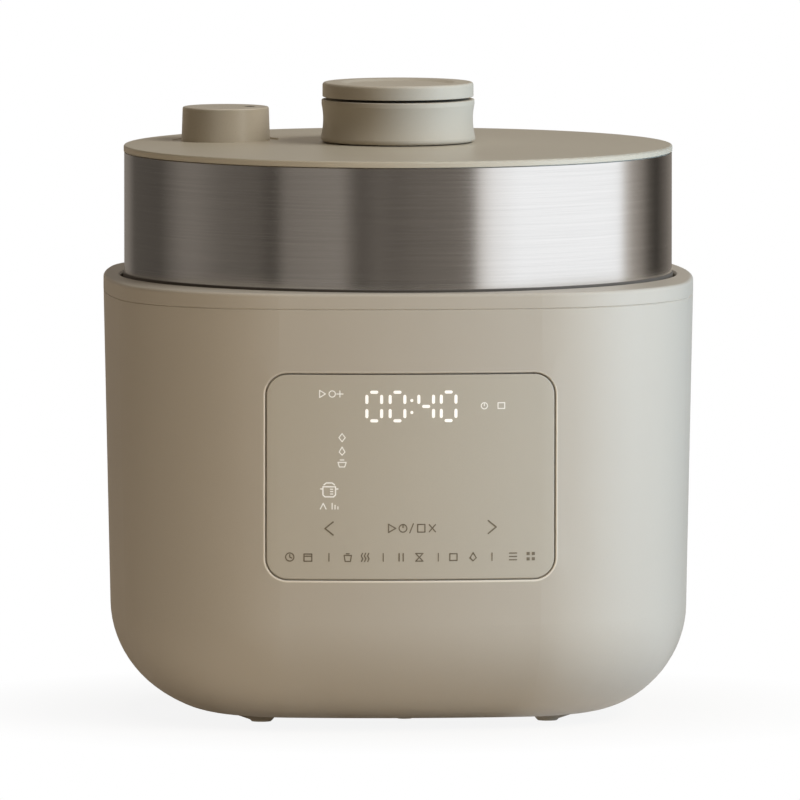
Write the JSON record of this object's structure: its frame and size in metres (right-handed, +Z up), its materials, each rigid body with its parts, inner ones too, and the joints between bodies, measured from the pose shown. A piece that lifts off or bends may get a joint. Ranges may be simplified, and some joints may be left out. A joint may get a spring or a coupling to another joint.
{
  "type": "electric pressure cooker",
  "caption": "Countertop electric pressure cooker with a rounded-square body, lift-off drum lid, turning lock knob, release button, vent and removable pot.",
  "frame": {"origin": "on the table under the centre of the body", "axes": "+Z up, -Y towards the control panel, +X to the right of someone facing the panel"},
  "size_m": [0.244, 0.244, 0.2603],
  "materials": {
    "shell_plastic": "satin",
    "rim_plastic": "satin",
    "panel_plastic": "satin",
    "lid_plastic": "satin",
    "knob_plastic": "satin",
    "band_steel": "brushed",
    "pot_steel": "brushed",
    "plain_steel": "plain",
    "cast_alloy": "cast",
    "screw_steel": "bright",
    "brass_pins": "bright",
    "soft_seal": "matte",
    "foot_rubber": "matte",
    "black_plastic": "matte",
    "frame_plastic": "matte",
    "clear_plastic": "clear",
    "board_green": "lacquered",
    "board_black": "matte"
  },
  "bodies": {
    "base": {"housing_shell": "shell_plastic", "rim_ring": "rim_plastic", "control_panel": "panel_plastic", "light_guide": "clear_plastic", "display_board": "board_green", "feet": "foot_rubber", "base_cover": "black_plastic", "base_screws": "screw_steel", "power_board": "board_green", "board_parts": "board_black", "power_inlet": "black_plastic", "inlet_pins": "brass_pins", "outer_pot": "plain_steel", "bayonet_ring": "plain_steel", "ring_screws": "screw_steel", "heating_plate": "cast_alloy", "heating_tube": "plain_steel", "sensor_holder": "plain_steel", "sensor_spring": "plain_steel", "pressure_switch": "black_plastic"},
    "pot": {"inner_pot": "pot_steel"},
    "sensor": {"pot_sensor": "cast_alloy"},
    "lid": {"lid_cover": "lid_plastic", "lid_band": "band_steel", "lid_frame": "frame_plastic", "lid_screws": "screw_steel", "pressure_lid": "pot_steel", "seal_ring": "soft_seal", "lid_posts": "plain_steel", "vent_pipe": "plain_steel", "vent_screen": "plain_steel", "rocker_bracket": "plain_steel", "rocker_pin": "screw_steel"},
    "lock": {"knob": "knob_plastic", "drive_shaft": "frame_plastic", "lock_plate": "plain_steel", "shaft_clip": "screw_steel", "shaft_screws": "screw_steel", "button_spring": "plain_steel"},
    "button": {"release_button": "knob_plastic", "button_stem": "frame_plastic"},
    "rocker": {"rocker_arm": "plain_steel"},
    "weight": {"vent_weight": "black_plastic"},
    "cap": {"vent_cap": "knob_plastic"},
    "float": {"float_valve": "cast_alloy", "float_gasket": "soft_seal"}
  },
  "joints": [
    {"name": "lid_lift", "type": "slide", "parent": "base", "child": "lid", "axis": [0, 0, 1], "range_m": [0, 0.3]},
    {"name": "pot_lift", "type": "slide", "parent": "base", "child": "pot", "axis": [0, 0, 1], "range_m": [0, 0.15]},
    {"name": "sensor_press", "type": "slide", "parent": "base", "child": "sensor", "axis": [0, 0, -1], "range_m": [0, 0.002], "stiffness_N_per_m": 1500, "springref_m": -0.003, "deforming": ["sensor_spring"]},
    {"name": "knob_turn", "type": "hinge", "parent": "lid", "child": "lock", "pos_m": [0, 0, 0.2], "axis": [0, 0, -1], "range_deg": [0, 30]},
    {"name": "button_press", "type": "slide", "parent": "lock", "child": "button", "axis": [0, 0, -1], "range_m": [0, 0.001], "stiffness_N_per_m": 2000, "springref_m": -0.002, "deforming": ["button_spring"]},
    {"name": "rocker_tilt", "type": "hinge", "parent": "lid", "child": "rocker", "pos_m": [-0.02065, 0.0076, 0.1959], "axis": [0.3453, 0.9385, 0], "range_deg": [0, 2.62]},
    {"name": "weight_lift", "type": "slide", "parent": "lid", "child": "weight", "axis": [0, 0, 1], "range_m": [0, 0.00245]},
    {"name": "cap_lift", "type": "slide", "parent": "lid", "child": "cap", "axis": [0, 0, 1], "range_m": [0, 0.03]},
    {"name": "float_rise", "type": "slide", "parent": "lid", "child": "float", "axis": [0, 0, 1], "range_m": [0, 0.0036]}
  ],
  "couplings": [
    {"joint": "pot_lift", "follows": "lid_lift", "ratio": 0.5},
    {"joint": "rocker_tilt", "follows": "button_press", "rad_per_m": 45.455},
    {"joint": "weight_lift", "follows": "button_press", "ratio": 2.4136}
  ]
}
